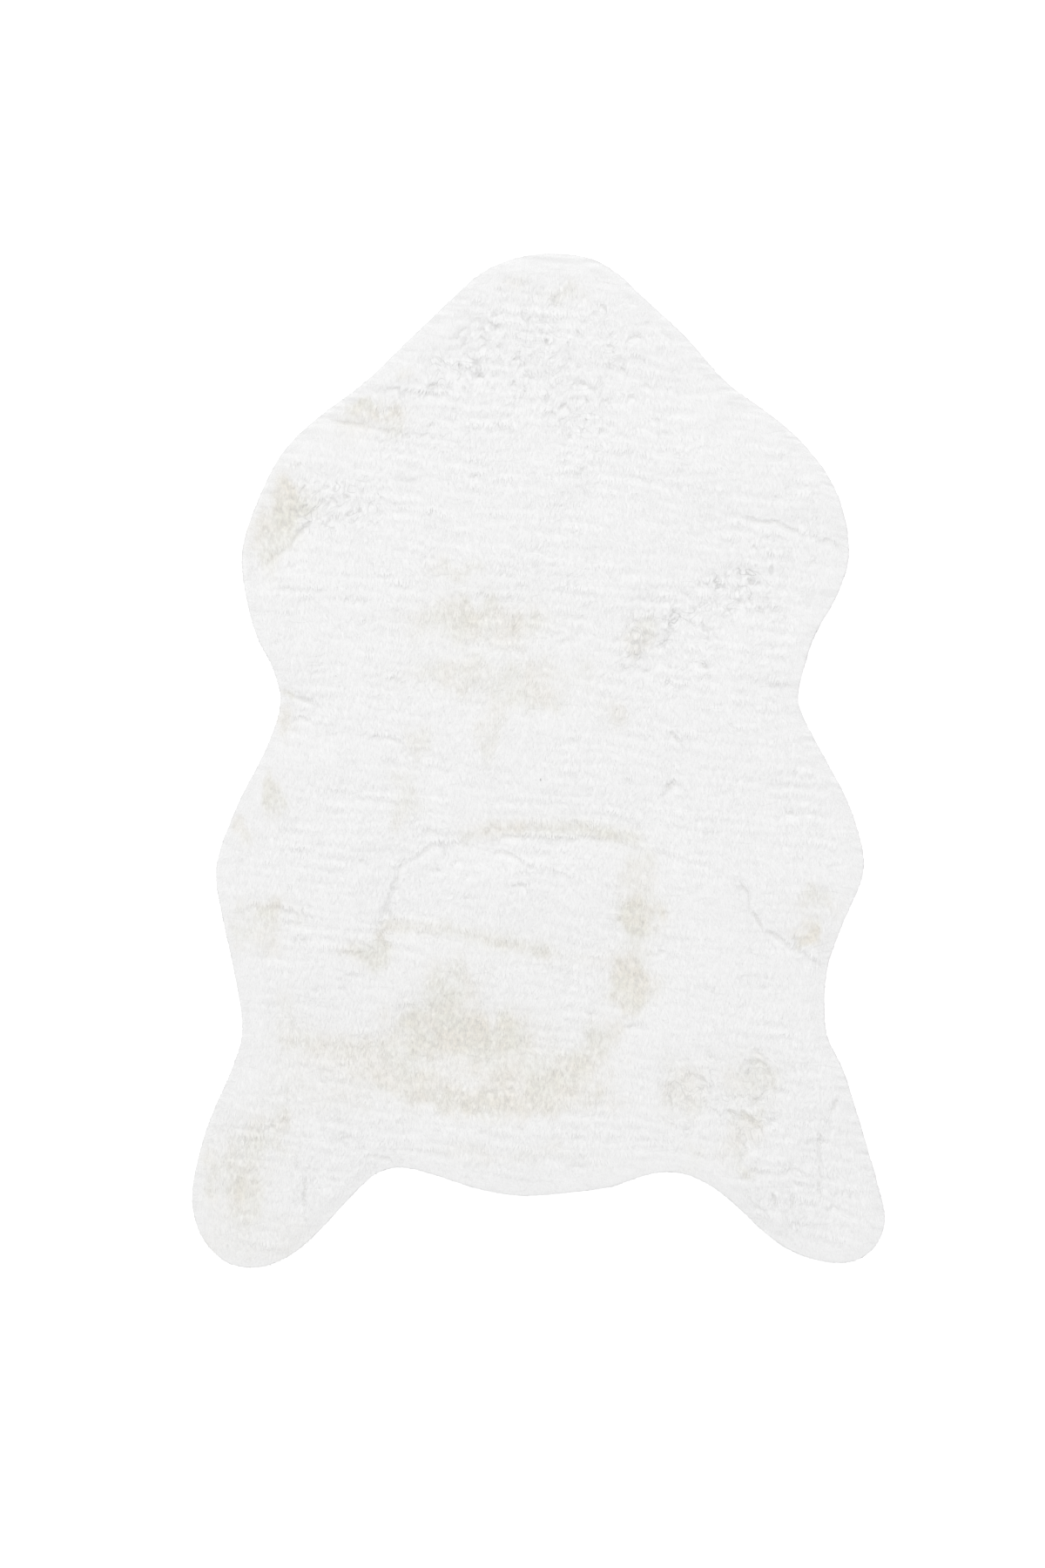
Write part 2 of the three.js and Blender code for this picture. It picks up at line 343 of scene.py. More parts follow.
def valueNoise(x, y, sizeX, sizeY, seed):
    # smooth noise from -1 to 1 with lumps of the given size
    cells = 256
    shift = 1000  # keeps the numbers of the cells above zero
    table = np.random.default_rng(seed).uniform(-1, 1, (cells, cells))
    u = x / sizeX + shift
    v = y / sizeY + shift
    i = np.floor(u).astype(int)
    j = np.floor(v).astype(int)
    fu = u - i
    fv = v - j
    fu = fu * fu * (3 - 2 * fu)
    fv = fv * fv * (3 - 2 * fv)
    return fourCorners(table, i % cells, j % cells, (i + 1) % cells, (j + 1) % cells, fu, fv)


# noises of the pile: size of a lump across and along in millimetres, and its seed
lumpSizes = {
    "wanderX": (14, 14, 11), "fineWanderX": (5, 5, 12),
    "wanderY": (14, 14, 13), "fineWanderY": (5, 5, 14),
    "openLines": (26, 26, 29), "patches": (8, 9, 15), "broadPatches": (20, 16, 10),
    "rippleBend": (60, 60, 16), "ripples": (30, 6, 17), "broadRipples": (60, 13, 18),
    "swell": (24, 20, 19), "ruffles": (9, 7, 20), "partings": (16, 16, 21),
    "fineRipples": (16, 2.8, 23), "middleRipples": (28, 5, 27), "nap": (2.3, 13, 28),
    "fineRuffles": (4, 3, 22), "rowBend": (7, 9, 24), "curls": (1.9, 4.6, 25),
    "fineCurls": (1.6, 1.8, 26), "tickPatches": (40, 30, 42),
    "heading": (40, 40, 31), "fineHeading": (9, 12, 32), "ruffledHeading": (7, 6, 35),
    "reach": (6, 6, 33), "overhang": (6, 6, 36), "rimBumps": (13, 13, 37),
}


def lumps(key, x, y):
    sizeX, sizeY, seed = lumpSizes[key]
    return valueNoise(x, y, sizeX * mm, sizeY * mm, seed)


def nearestTuft(x, y, sizeX, sizeY, seed):
    # middle of the nearest tuft on a jittered grid, and two numbers of its own
    rng = np.random.default_rng(seed)
    cells = 512
    loose = 0.42  # how far a tuft may stand off the middle of its cell
    jitter = rng.uniform(-loose, loose, (2, cells, cells))
    tags = rng.uniform(-1, 1, (2, cells, cells))
    i = np.floor(x / sizeX).astype(int)
    j = np.floor(y / sizeY).astype(int)
    best = np.full(x.shape, np.inf)
    found = np.zeros((4, *x.shape))
    for di in (-1, 0, 1):
        for dj in (-1, 0, 1):
            wi = (i + di) % cells
            wj = (j + dj) % cells
            cx = (i + di + 0.5 + jitter[0, wi, wj]) * sizeX
            cy = (j + dj + 0.5 + jitter[1, wi, wj]) * sizeY
            far = ((x - cx) / sizeX) ** 2 + ((y - cy) / sizeY) ** 2
            found = np.where(far < best, (cx, cy, tags[0, wi, wj], tags[1, wi, wj]), found)
            best = np.minimum(best, far)
    return found


# places where the pile lies open and its cream roots show, in millimetres:
# middleX, middleY, halfX, halfY, strength
openPlaces = [
    # left shoulder, neck and back
    (-148, 309, 22, 6, 0.62), (-150, 297, 28, 12, 0.3), (-222, 228, 16, 20, 0.75), (-236, 203, 18, 26, 0.5),
    (24, 412, 16, 5, 0.32), (-18, 421, 10, 4, 0.34), (-120, 340, 7, 6, 0.25), (-68, 166, 24, 7, 0.3),
    (-54, 124, 54, 18, 0.42), (-64, 132, 10, 9, 0.35), (-14, 117, 10, 12, 0.3), (90, 110, 13, 11, 0.4),
    (-38, 76, 70, 14, 0.36), (-12, 54, 34, 10, 0.34), (-42, 25, 10, 22, 0.3), (68, 42, 16, 9, 0.28),
    (-108, 15, 10, 12, 0.3), (-119, -37, 12, 24, 0.26), (89, -98, 15, 16, 0.3),
    # right end of the arch, and the belly below it
    (88, -138, 17, 18, 0.95), (83, -198, 15, 22, 0.9), (96, -168, 12, 10, 0.25),
    (-146, -172, 18, 14, 0.6), (-78, -201, 24, 22, 0.5), (-84, -236, 34, 20, 0.7), (-52, -244, 38, 22, 0.75),
    (-118, -246, 20, 20, 0.6), (-114, -288, 36, 18, 0.55), (-60, -302, 40, 12, 0.72), (-4, -296, 34, 18, 0.6),
    (34, -278, 22, 22, 0.66), (58, -250, 16, 20, 0.5), (-150, -264, 26, 20, 0.26), (-30, -262, 40, 30, 0.35),
    # left hip and hem
    (-186, -252, 24, 12, 0.26), (-216, -246, 14, 10, 0.26), (-228, -222, 10, 18, 0.16),
    (-164, -270, 18, 16, 0.14), (-190, -278, 46, 32, 0.16), (-30, -349, 66, 9, 0.16), (64, -306, 26, 6, 0.22),
    # hind legs
    (-266, -362, 23, 36, 0.5), (-238, -330, 18, 16, 0.36), (-264, -384, 18, 18, 0.35),
    (-250, -428, 56, 22, 0.12),
    (189, -364, 5, 5, 0.8), (186, -318, 9, 6, 0.45),
    # flanks, right hip and left waist
    (-234, -30, 8, 18, 0.5), (-262, -64, 8, 14, 0.3), (-244, -146, 26, 20, 0.32), (-240, -128, 12, 8, 0.4),
    (244, -128, 18, 10, 0.3), (242, -156, 10, 9, 0.9), (130, -292, 18, 24, 0.3), (186, -284, 22, 20, 0.3),
    (181, -340, 14, 18, 0.32), (140, -350, 12, 8, 0.25), (-222, 57, 10, 4, 0.4), (-226, 30, 8, 10, 0.3),
]

# long open lines, in millimetres: path, halfWidth, strength
openLines = [
    ([(-66, -68), (-40, -61), (-10, -58), (40, -60), (88, -71)], 4.5, 0.68),
    ([(-134, -146), (-82, -149), (-40, -160), (28, -175), (80, -181)], 5, 0.58),
    ([(-200, -246), (-165, -254), (-125, -266)], 8, 0.14),
]

# partings and creases, each from left to right, in millimetres: path, halfWidth, depth
partings = [
    # arch over the belly
    ([(-143, -163), (-136, -126), (-119, -88), (-92, -74), (-66, -70)], 2.8, 0.5),
    ([(-68, -70), (-27, -84), (1, -94), (20, -97), (42, -106)], 2.4, 0.55),
    ([(-62, -71), (-10, -66), (50, -68), (90, -77)], 2.4, 0.4),
    # waist, flanks and shoulders
    ([(-223, 59), (-208, 56), (-192, 49)], 2.4, 0.7),
    ([(-227, 41), (-180, 32), (-122, 18)], 3, 0.4),
    ([(-184, -25), (-150, -32), (-107, -36)], 3, 0.25),
    ([(138, 231), (179, 217), (225, 207), (271, 190)], 3, 0.5),
    ([(92, -76), (122, -84), (152, -92)], 2.6, 0.35),
    ([(-253, -126), (-228, -130), (-200, -137)], 2.4, 0.4),
    ([(179, 76), (205, 72), (233, 64)], 3, 0.4),
    ([(179, -113), (186, -118), (188, -132), (198, -148)], 1.8, 1.1),
    ([(202, -152), (228, -164), (252, -183)], 2.2, 0.6),
    ([(-254, 168), (-230, 186), (-203, 211)], 2.6, 0.7),
    ([(-146, 330), (-110, 328), (-68, 320)], 3, 0.5),
    ([(-184, 300), (-150, 296), (-115, 288)], 3, 0.5),
    # hind legs
    ([(-207, -374), (-209, -390), (-207, -407)], 2, 1.4),
    ([(-173, -337), (-155, -348), (-130, -353)], 2.2, 0.5),
    ([(-221, -290), (-223, -300), (-225, -310)], 1.8, 0.8),
    ([(-214, -341), (-215, -362)], 1.6, 0.7),
    ([(250, -333), (251, -360), (250, -388)], 2, 1.2),
    ([(207, -387), (209, -403)], 1.8, 1.1),
    ([(224, -385), (223, -398)], 1.8, 0.8),
    ([(252, -330), (256, -316), (263, -302)], 2.2, 0.8),
    ([(190, -362), (210, -365), (232, -363)], 2, 0.7),
    ([(180, -312), (186, -317), (193, -320)], 2, 0.7),
    ([(176, -276), (184, -266), (200, -270), (206, -284), (200, -298), (188, -304)], 2, 0.8),
    ([(118, -302), (120, -286), (134, -278), (148, -284)], 2, 0.7),
    ([(168, -312), (182, -318), (196, -326)], 2, 0.7),
    ([(178, -336), (186, -346), (180, -356)], 2, 0.7),
    # small marks on the back
    ([(118, 25), (124, 18)], 2, 1.5),
    ([(114, -24), (121, -19)], 2, 1.2),
]

# ruffled places, in millimetres and degrees: middleX, middleY, halfX, halfY, turn, strength
ruffledPlaces = [
    (-76, 346, 34, 17, 0, 0.8), (9, 368, 66, 50, 0, 0.55), (40, 288, 26, 54, 0, 0.45),
    (-184, 230, 42, 26, 0, 0.8), (150, 142, 74, 20, 28, 0.9), (118, 98, 40, 34, 0, 0.55),
    (140, -290, 26, 36, 0, 0.6), (188, -306, 22, 48, 0, 0.6), (-140, -150, 14, 30, 0, 0.5),
    (-20, 300, 120, 40, 0, 0.15), (10, 120, 150, 50, 0, 0.08), (-90, -110, 60, 60, 0, 0.2),
    (196, -404, 34, 18, -38, 0.3), (-206, -300, 40, 60, 0, 0.14), (232, -350, 44, 60, 0, 0.12),
]

# how far the edges of all these places wander from their ovals and paths
wander = {
    "broad": 6 * mm,
    "fine": 2.5 * mm,
    "ragged": 1.5,  # times that at the open places
    "lines": 0.2,
    "partings": 0.3,
}

folds = {
    "rise": 0.4,  # height of the soft fold above a parting, for each millimetre of its depth
    "riseOff": 4.5 * mm,  # how far above the parting it stands
    "riseWidth": 3.5 * mm,
    "dip": 0.5,  # of the rise, below the parting
    "dipOff": 2 * mm,
    "dipWidth": 4 * mm,
    "uneven": (0.8, 0.7),
    "deepest": 1.3,
    "tight": 0.6,  # of the half width in the table
    "endBlend": 4 * mm,
    "sink": 0.5,  # how much of a groove's depth the tips of the pile follow
    "shade": 0.35,  # and how much of its slope
}

openPile = {
    "lineUneven": (0.8, 0.6),
    "patches": (0.35, 0.2),
    "gapDepth": 0.3 * mm,
    "gapSharpness": 2.2,
    "gapSpread": 1.6,
    "fineCurls": 0.4,
    "rowBend": 1.5 * mm,
    "rootTintAndGrooveShade": 0.3,  # more of the cream down in a groove: the roots' own cream, and painted shade in the groove
}

# low ripples across the nap and softer lumps, as heights and shares
ripples = {
    "slant": 0.12,
    "bend": 5 * mm,
    "broad": 0.6,
    "everywhere": 0.6,
    "upperRight": 0.3,
    "cornerSlant": 0.6,
    "cornerFrom": 0.10,
    "cornerBlend": 30 * mm,
    "hem": 0.35,
    "hemPlace": -0.345,
    "hemReach": 28 * mm,
    "rightLeg": 0.35,
    "legPlace": (0.24, -0.35),
    "legReach": 70 * mm,
    "height": 0.42 * mm,
    "swell": 0.34 * mm,
    "ruffled": 0.7 * mm,
    "openDrop": 0.12 * mm,
    "fineHeight": 0.38 * mm,
    "fineEverywhere": 0.4,
    "middleHeight": 0.2 * mm,
    "nap": 0.16 * mm,
    "fineRuffled": 0.65 * mm,
}

# short lines where locks of the pile part, faint on smooth pile and deeper in ruffled places
ticks = {
    "tries": 60000,
    "quietShare": 0.02,
    "ruffledShare": 0.085,
    "quietLength": (6 * mm, 20 * mm),
    "ruffledLength": (3 * mm, 9 * mm),
    "quietDepth": (0.15 * mm, 0.6 * mm),
    "ruffledDepth": (0.5 * mm, 1.5 * mm),
    "halfWidth": (0.7 * mm, 1.3 * mm),
    "uneven": (0.55, 0.45),
    "fromEdge": 6 * mm,
    "gain": 1.6,  # how soon a ruffled place counts in full
    "shallow": 1.6,  # more shallow lines than deep ones
    "turn": (0.5, 2.1),  # on smooth pile, and more where it is ruffled
    "bend": (0.8, 3),
    "fade": (0.15, 0.97),  # ends of the half wave that fades a line out
    "seed": 41,
}


def distanceToPath(x, y, path):
    # how far off the path, and the same with a minus sign below it
    nearest = np.full(x.shape, 1e9)
    signed = np.full(x.shape, 1e9)
    for (ax, ay), (bx, by) in zip(path[:-1], path[1:]):
        dx = (bx - ax) * mm
        dy = (by - ay) * mm
        fromX = x - ax * mm
        fromY = y - ay * mm
        share = np.clip((fromX * dx + fromY * dy) / (dx * dx + dy * dy), 0, 1)
        gap = np.hypot(fromX - share * dx, fromY - share * dy)
        closer = gap < nearest
        nearest = np.where(closer, gap, nearest)
        signed = np.where(closer, gap * np.sign(dx * fromY - dy * fromX), signed)
    return nearest, signed


def ovalShare(x, y, middleX, middleY, halfX, halfY, turn=0):
    # 1 in the middle of an oval, 0.5 at its edge, 0 outside
    c = math.cos(math.radians(turn))
    s = math.sin(math.radians(turn))
    dx = x - middleX * mm
    dy = y - middleY * mm
    u = (dx * c + dy * s) / (halfX * mm)
    v = (-dx * s + dy * c) / (halfY * mm)
    return 1 / (1 + (u * u + v * v) ** 3)


def pressLine(values, startX, startY, heading, bend, length, halfWidth, depth):
    # presses one short curved line into a map
    step = plan["step"]
    count = max(int(length / step), 3)
    turn = heading + bend * np.linspace(-0.5, 0.5, count)
    px = startX + np.cumsum(np.cos(turn)) * length / count
    py = startY + np.cumsum(np.sin(turn)) * length / count
    fade = np.sin(np.linspace(*ticks["fade"], count) * math.pi)
    room = 3 * halfWidth
    spans = []
    for axis, line in enumerate((px, py)):
        first = max(int((line.min() - room - plan["low"][axis]) / step), 0)
        last = min(int((line.max() + room - plan["low"][axis]) / step) + 2, values.shape[axis])
        spans.append(np.arange(first, last))
    gx = plan["low"][0] + step * spans[0][:, None, None]
    gy = plan["low"][1] + step * spans[1][None, :, None]
    pressed = np.exp(-((gx - px) ** 2 + (gy - py) ** 2) / halfWidth**2) * fade
    area = np.ix_(*spans)
    values[area] = np.maximum(values[area], depth * pressed.max(axis=2))


def pressTicks(grooves, ruffle):
    rng = np.random.default_rng(ticks["seed"])
    tries = ticks["tries"]
    x = rng.uniform(plan["low"][0], plan["high"][0], tries)
    y = rng.uniform(plan["low"][1], plan["high"][1], tries)
    chance, heading, bend, long, wide, deep = rng.uniform(0, 1, (6, tries))
    ruffled = ruffle.at(x, y)
    share = ticks["quietShare"] + ruffled * ticks["ruffledShare"]
    share = share * (ticks["uneven"][0] + ticks["uneven"][1] * lumps("tickPatches", x, y))
    made = 0
    for k in np.flatnonzero((chance < share) & (edgeMap.at(x, y) > ticks["fromEdge"])):
        r = min(ruffled[k] * ticks["gain"], 1)
        between = {}
        for key, amount in (("Length", long[k]), ("Depth", deep[k] ** ticks["shallow"])):
            low = ticks["quiet" + key][0] * (1 - r) + ticks["ruffled" + key][0] * r
            high = ticks["quiet" + key][1] * (1 - r) + ticks["ruffled" + key][1] * r
            between[key] = low + (high - low) * amount
        halfWidth = ticks["halfWidth"][0] + (ticks["halfWidth"][1] - ticks["halfWidth"][0]) * wide[k]
        turn = (heading[k] - 0.5) * (ticks["turn"][0] + ticks["turn"][1] * r)
        curve = (bend[k] - 0.5) * (ticks["bend"][0] + ticks["bend"][1] * r)
        pressLine(grooves, x[k], y[k], turn, curve, between["Length"], halfWidth, between["Depth"])
        made += 1
    print("lines pressed into the pile:", made)


def openShare(x, y, wanderX, wanderY):
    openness = np.zeros(x.shape)
    raggedX = x + wander["ragged"] * (wanderX - x)
    raggedY = y + wander["ragged"] * (wanderY - y)
    for middleX, middleY, halfX, halfY, strength in openPlaces:
        share = strength * ovalShare(raggedX, raggedY, middleX, middleY, halfX, halfY)
        openness = openness + share * (1 - openness)
    even, uneven = openPile["lineUneven"]
    for path, halfWidth, strength in openLines:
        gap, _ = distanceToPath(x, y + wander["lines"] * (wanderY - y), path)
        broken = np.clip(even + uneven * lumps("openLines", x, y), 0, 1)
        share = strength * broken / (1 + (gap / (halfWidth * mm)) ** 3)
        openness = openness + share * (1 - openness)
    fine, broad = openPile["patches"]
    patchy = 1 + fine * lumps("patches", x, y) + broad * lumps("broadPatches", x, y)
    return np.clip(openness * patchy, 0, 1)


def ruffleShare(wanderX, wanderY):
    ruffle = np.zeros(wanderX.shape)
    for middleX, middleY, halfX, halfY, turn, strength in ruffledPlaces:
        share = strength * ovalShare(wanderX, wanderY, middleX, middleY, halfX, halfY, turn)
        ruffle = ruffle + share * (1 - ruffle)
    return ruffle


def rippleShare(x, y):
    # the ripples are strongest up on the right, along the hem and on the right leg
    fromCorner = x * ripples["cornerSlant"] + y - ripples["cornerFrom"]
    upperRight = 1 / (1 + np.exp(-fromCorner / ripples["cornerBlend"]))
    hem = np.exp(-((y - ripples["hemPlace"]) / ripples["hemReach"]) ** 2)
    legX = (x - ripples["legPlace"][0]) / ripples["legReach"]
    legY = (y - ripples["legPlace"][1]) / ripples["legReach"]
    rightLeg = np.exp(-legX ** 2 - legY ** 2)
    share = ripples["everywhere"] + ripples["upperRight"] * upperRight
    return share + ripples["hem"] * hem + ripples["rightLeg"] * rightLeg


def makePileMaps():
    x, y = gridOf(plan["step"])
    wanderX = x + wander["broad"] * lumps("wanderX", x, y) + wander["fine"] * lumps("fineWanderX", x, y)
    wanderY = y + wander["broad"] * lumps("wanderY", x, y) + wander["fine"] * lumps("fineWanderY", x, y)
    openness = openShare(x, y, wanderX, wanderY)
    ruffle = ruffleShare(wanderX, wanderY)
    across = y + ripples["slant"] * x + ripples["bend"] * lumps("rippleBend", x, y)
    strength = rippleShare(x, y)
    ripple = lumps("ripples", x, across) + ripples["broad"] * lumps("broadRipples", x, across)
    relief = ripples["height"] * strength * ripple
    relief += ripples["swell"] * lumps("swell", x, y)
    relief += ripples["ruffled"] * ruffle * lumps("ruffles", x, y)
    relief -= ripples["openDrop"] * openness
    fineShare = ripples["fineEverywhere"] + strength
    fine = ripples["fineHeight"] * fineShare * lumps("fineRipples", x, across)
    fine += ripples["middleHeight"] * strength * lumps("middleRipples", x, across)
    fine += ripples["nap"] * lumps("nap", x, y)
    fine += ripples["fineRuffled"] * ruffle * lumps("fineRuffles", x, y)
    groove = np.zeros(x.shape)
    nearX = x + wander["partings"] * (wanderX - x)
    nearY = y + wander["partings"] * (wanderY - y)
    uneven = folds["uneven"][0] + folds["uneven"][1] * lumps("partings", x, y)
    uneven = np.clip(uneven, 0, folds["deepest"])
    for path, halfWidth, depth in partings:
        gap, signed = distanceToPath(nearX, nearY, path)
        pressed = np.exp(-(gap / (halfWidth * folds["tight"] * mm)) ** 2)
        groove = np.maximum(groove, depth * mm * uneven * pressed)
        along = np.exp(-(np.maximum(gap - np.abs(signed), 0) / folds["endBlend"]) ** 2)
        above = np.exp(-((signed - folds["riseOff"]) / folds["riseWidth"]) ** 2)
        below = np.exp(-((signed + folds["dipOff"]) / folds["dipWidth"]) ** 2)
        relief += depth * folds["rise"] * mm * uneven * (above - folds["dip"] * below) * along
    pressTicks(groove, PlanMap(ruffle, plan["step"]))
    # open pile stands in short curly rows with gaps between them
    rowX = x + openPile["rowBend"] * lumps("rowBend", x, y)
    curls = lumps("curls", rowX, y) + openPile["fineCurls"] * lumps("fineCurls", x, y)
    gaps = np.clip(curls * openPile["gapSharpness"], 0, 1)
    gaps = gaps * np.clip(openness * openPile["gapSpread"], 0, 1)
    groove = np.maximum(groove, openPile["gapDepth"] * gaps)
    made = {
        "openness": openness,
        "ruffle": ruffle,
        "groove": groove,
        "softGroove": blurred(groove, 4),
        "relief": relief,
        "fine": relief + fine - folds["shade"] * blurred(groove, 1),
    }
    return {key: PlanMap(values, plan["step"]) for key, values in made.items()}


maps = makePileMaps()
print("plan maps made")


def rollShare(inward):
    # how far the top has risen from the widest line of the edge to its full height
    return 1 - (1 - np.clip(inward, 0, 1)) ** 2


def surfaceHeight(x, y):
    # height of the tips of the pile over the floor
    roll = rollShare(edgeMap.at(x, y) / plan["edgeRoll"])
    full = topMap.at(x, y) + maps["relief"].at(x, y) - folds["sink"] * maps["groove"].at(x, y)
    return plan["bulgeHeight"] + (full - plan["bulgeHeight"]) * roll


def reliefNormal(x, y):
    # which way the tips of the pile face, as one soft surface that turns over only at its rim
    reach = 1.2 * mm

    def rise(dx, dy):
        return topMap.at(x + dx, y + dy) + maps["fine"].at(x + dx, y + dy)

    inwardX, inwardY = edgeSlope(x, y)
    rim = plan["rimTurn"] * np.clip(1 - edgeMap.at(x, y) / plan["edgeRoll"], 0, 1) ** 3
    normal = np.column_stack([
        (rise(-reach, 0) - rise(reach, 0)) / (2 * reach) - rim * inwardX,
        (rise(0, -reach) - rise(0, reach)) / (2 * reach) - rim * inwardY,
        np.ones(len(x)),
    ])
    return normal / np.linalg.norm(normal, axis=1, keepdims=True)


def meshFromArrays(name, points, faces, values, uv, normals):
    # values are numbers kept at each point; uv and normals come in the order of the faces' corners
    mesh = bpy.data.meshes.new(name)
    sides = faces.shape[1]
    mesh.vertices.add(len(points))
    mesh.vertices.foreach_set("co", points.astype(np.float32).ravel())
    mesh.loops.add(faces.size)
    mesh.loops.foreach_set("vertex_index", faces.astype(np.int32).ravel())
    mesh.polygons.add(len(faces))
    mesh.polygons.foreach_set("loop_start", np.arange(0, faces.size, sides, dtype=np.int32))
    mesh.polygons.foreach_set("use_smooth", np.ones(len(faces), dtype=bool))
    for key, numbers in values.items():
        mesh.attributes.new(key, "FLOAT", "POINT").data.foreach_set("value", numbers.astype(np.float32))
    mesh.uv_layers.new(name="OFBake").data.foreach_set("uv", uv.astype(np.float32).ravel())
    mesh.update(calc_edges=True)
    mesh.normals_split_custom_set(normals.astype(np.float32).reshape(-1, 3))
    piece = bpy.data.objects.new(name, mesh)
    bpy.context.scene.collection.objects.link(piece)
    return piece


def cornerPlaces():
    # outline points that count as the four corners: toes and neck
    x, y = outline.T
    neckward = 1.6 * y
    return [int(np.argmax(score)) for score in (neckward - x, -x - y, x - y, neckward + x)]


def edgeStretch(start, stop, count):
    # places along the outline from one corner up to the next
    span = (stop - start) % len(outline)
    return (start + np.linspace(0, span, count, endpoint=False)) % len(outline)


def outlineAt(places, inset):
    n = len(outline)
    i = np.floor(places).astype(int)
    f = (places - i)[:, None]
    point = outline[i % n] * (1 - f) + outline[(i + 1) % n] * f
    tangent = outline[(i + 3) % n] - outline[(i - 2) % n]
    tangent = tangent / np.linalg.norm(tangent, axis=1, keepdims=True)
    return np.column_stack([point[:, 0] - tangent[:, 1] * inset, point[:, 1] + tangent[:, 0] * inset])


def onMap(flat, small):
    # place on the cloth's own square map: its seen side large, its hidden side small beside it
    seen = (flat - plan["low"]) / (plan["high"][1] - plan["low"][1] + 2 * mm)
    return seen * plan["hiddenSize"] + plan["hiddenStart"] if small else seen


def layCloth(name, rows, columns, rings, topHeight, floorHeight, topNormal, footSeen):
    # rings are (inset, share of the height) from the foot of the edge up to the top
    neckLeft, toeLeft, toeRight, neckRight = cornerPlaces()
    places = np.concatenate([
        edgeStretch(neckLeft, toeLeft, rows), edgeStretch(toeLeft, toeRight, columns),
        edgeStretch(toeRight, neckRight, rows), edgeStretch(neckRight, neckLeft, columns),
    ])
    count = len(places)
    widest, widestShare = min(rings)
    points = []
    spots = []
    normals = []
    faces = []
    for inset, share in rings:
        flat = outlineAt(places, inset)
        top = topHeight(*flat.T)
        points.append(np.column_stack([flat, floorHeight + (top - floorHeight) * share]))
        if share < widestShare:
            # the side goes straight out on the map, and faces outwards
            side = (widestShare - share) * (top.mean() - floorHeight)
            spots.append(outlineAt(places, widest - side))
            outward = outlineAt(places, 0) - outlineAt(places, 1)
            normals.append(np.column_stack([outward, np.zeros(count)]))
        else:
            spots.append(flat)
            normals.append(topNormal(*flat.T))
    for ring in range(1, len(rings)):
        here = ring * count + np.arange(count)
        below = here - count
        faces.append(np.column_stack([below, np.roll(below, -1), np.roll(here, -1), here]))
    # the top is a grid blended between its four edges
    edge = points[-1][:, :2]
    left = edge[: rows + 1]
    hem = edge[rows: rows + columns + 1]
    right = edge[rows + columns: 2 * rows + columns + 1][::-1]
    neck = np.vstack([edge[2 * rows + columns:], edge[:1]])[::-1]
    down = (np.arange(rows + 1) / rows)[:, None, None]
    across = (np.arange(columns + 1) / columns)[None, :, None]
    flat = (1 - across) * left[:, None] + across * right[:, None] + (1 - down) * neck[None] + down * hem[None]
    flat -= (1 - down) * (1 - across) * left[0] + (1 - down) * across * right[0]
    flat -= down * (1 - across) * left[-1] + down * across * right[-1]
    ringStart = (len(rings) - 1) * count
    index = np.full((rows + 1, columns + 1), -1)
    index[:, 0] = ringStart + np.arange(rows + 1)
    index[rows, :] = ringStart + rows + np.arange(columns + 1)
    index[:, columns] = ringStart + 2 * rows + columns - np.arange(rows + 1)
    index[0, 1:] = ringStart + (2 * (rows + columns) - np.arange(1, columns + 1))
    inner = np.zeros(index.shape, bool)
    inner[1:-1, 1:-1] = True
    index[inner] = ringStart + count + np.arange(inner.sum())
    flat = flat[inner]
    points.append(np.column_stack([flat, topHeight(*flat.T)]))
    spots.append(flat)
    normals.append(topNormal(*flat.T))
    corners = [index[:-1, :-1], index[1:, :-1], index[1:, 1:], index[:-1, 1:]]
    faces.append(np.stack(corners, axis=-1).reshape(-1, 4))
    points = np.vstack(points)
    spots = np.vstack(spots)
    normals = np.vstack(normals)
    normals = normals / np.linalg.norm(normals, axis=1, keepdims=True)
    # the flat foot closes the cloth, facing down
    foot = np.array(tessellate_polygon([[Vector((*p[:2], 0)) for p in points[:count]]]))
    a, b, c = (points[foot[:, k], :2] for k in range(3))
    facesUp = (b[:, 0] - a[:, 0]) * (c[:, 1] - a[:, 1]) > (b[:, 1] - a[:, 1]) * (c[:, 0] - a[:, 0])
    foot[facesUp] = foot[facesUp][:, ::-1]
    quads = np.vstack(faces)
    upper = np.vstack([quads[:, [0, 1, 2]], quads[:, [0, 2, 3]]])
    triangles = np.vstack([upper, foot])
    uv = np.concatenate([onMap(spots[upper], footSeen), onMap(points[foot][:, :, :2], not footSeen)])
    facing = np.concatenate([normals[upper], np.broadcast_to((0.0, 0.0, -1.0), (*foot.shape, 3))])
    looks = {key: maps[key].at(*points.T[:2]) for key in ("openness", "ruffle")}
    # grooves take more cream: partly the roots' own colour, partly painted shade of the groove
    looks["openness"] += openPile["rootTintAndGrooveShade"] * np.minimum(maps["softGroove"].at(*points.T[:2]) / mm, 1)
    return meshFromArrays(name, points, triangles, looks, uv, facing)


def newMaterial(name):
    made = bpy.data.materials.new(name)
    made.use_nodes = True
    wires = Wire(made.node_tree)
    return made, wires, wires.node("ShaderNodeTexCoord", output=3)


def finishMaterial(made, tint, height, depth, look):
    shader = made.node_tree.nodes["Principled BSDF"]
    tint.feed(shader.inputs["Base Color"])
    raised = height.node("ShaderNodeBump", {}, {"Height": height, "Strength": 1.0, "Distance": depth})
    raised.feed(shader.inputs["Normal"])
    shader.inputs["Roughness"].default_value = look["roughness"]
    shader.inputs["Specular IOR Level"].default_value = look["specular"]
    shader.inputs["Sheen Weight"].default_value = look["sheen"]


